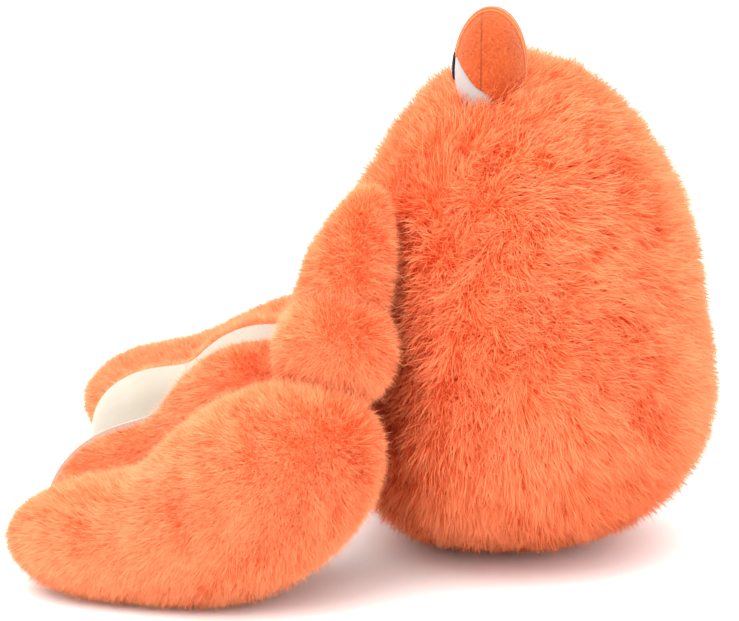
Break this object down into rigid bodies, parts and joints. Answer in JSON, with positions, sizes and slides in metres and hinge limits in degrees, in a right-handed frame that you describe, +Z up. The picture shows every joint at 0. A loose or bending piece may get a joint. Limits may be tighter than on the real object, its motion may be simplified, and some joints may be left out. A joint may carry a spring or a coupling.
{
  "type": "plush crab",
  "caption": "Sitting plush crab with a fluffy gumdrop body, sewn stalk eyes and jointed stuffed arms that end in padded claws with cream linings.",
  "frame": {"origin": "centre of the flat base panel under the body, on the floor", "axes": "+Z up, the crab faces -Y, and its left side is +X"},
  "size_m": [0.3508, 0.339, 0.2669],
  "materials": {
    "pile": "orange faux fur, long pile on the body and short pile on the limbs",
    "nap": "orange short nap",
    "cream": "cream velour",
    "white": "white velour",
    "felt": "black felt",
    "fill": "loose polyester filling",
    "bag": "plain calico bag filled with pellets"
  },
  "bodies": {
    "body": {"base_panel": "pile", "body_stuffing": "fill", "pellet_bag": "bag", "left_body_cover": "pile", "left_eye_white": "white", "left_eyelid_front": "nap", "left_eyelid_back": "nap", "left_pupil": "felt", "left_eye_stuffing": "fill", "right_body_cover": "pile", "right_eye_white": "white", "right_eyelid_front": "nap", "right_eyelid_back": "nap", "right_pupil": "felt", "right_eye_stuffing": "fill"},
    "left_upper_arm": {"left_upper_arm_cover": "pile", "left_upper_arm_stuffing": "fill"},
    "left_elbow": {"left_elbow_cover": "pile", "left_elbow_stuffing": "fill"},
    "left_claw": {"left_claw_cover": "pile", "left_claw_rear_lining": "cream", "left_claw_front_lining": "cream", "left_claw_stuffing": "fill"},
    "right_upper_arm": {"right_upper_arm_cover": "pile", "right_upper_arm_stuffing": "fill"},
    "right_elbow": {"right_elbow_cover": "pile", "right_elbow_stuffing": "fill"},
    "right_claw": {"right_claw_cover": "pile", "right_claw_rear_lining": "cream", "right_claw_front_lining": "cream", "right_claw_stuffing": "fill"}
  },
  "joints": [
    {"name": "left_shoulder", "type": "hinge", "parent": "body", "child": "left_upper_arm", "pos_m": [0.076, -0.066, 0.178], "axis": [-1, 0, 0], "range_deg": [0, 75]},
    {"name": "left_elbow", "type": "hinge", "parent": "left_upper_arm", "child": "left_elbow", "pos_m": [0.10837, -0.08722, 0.112], "axis": [-1, 0, 0], "range_deg": [0, 35]},
    {"name": "left_wrist", "type": "hinge", "parent": "left_elbow", "child": "left_claw", "pos_m": [0.10837, -0.08722, 0.112], "axis": [0, 0, 1], "range_deg": [0, 20]},
    {"name": "right_shoulder", "type": "hinge", "parent": "body", "child": "right_upper_arm", "pos_m": [-0.076, -0.066, 0.178], "axis": [-1, 0, 0], "range_deg": [0, 75]},
    {"name": "right_elbow", "type": "hinge", "parent": "right_upper_arm", "child": "right_elbow", "pos_m": [-0.10837, -0.08722, 0.112], "axis": [-1, 0, 0], "range_deg": [0, 35]},
    {"name": "right_wrist", "type": "hinge", "parent": "right_elbow", "child": "right_claw", "pos_m": [-0.10837, -0.08722, 0.112], "axis": [0, 0, -1], "range_deg": [0, 20]}
  ]
}
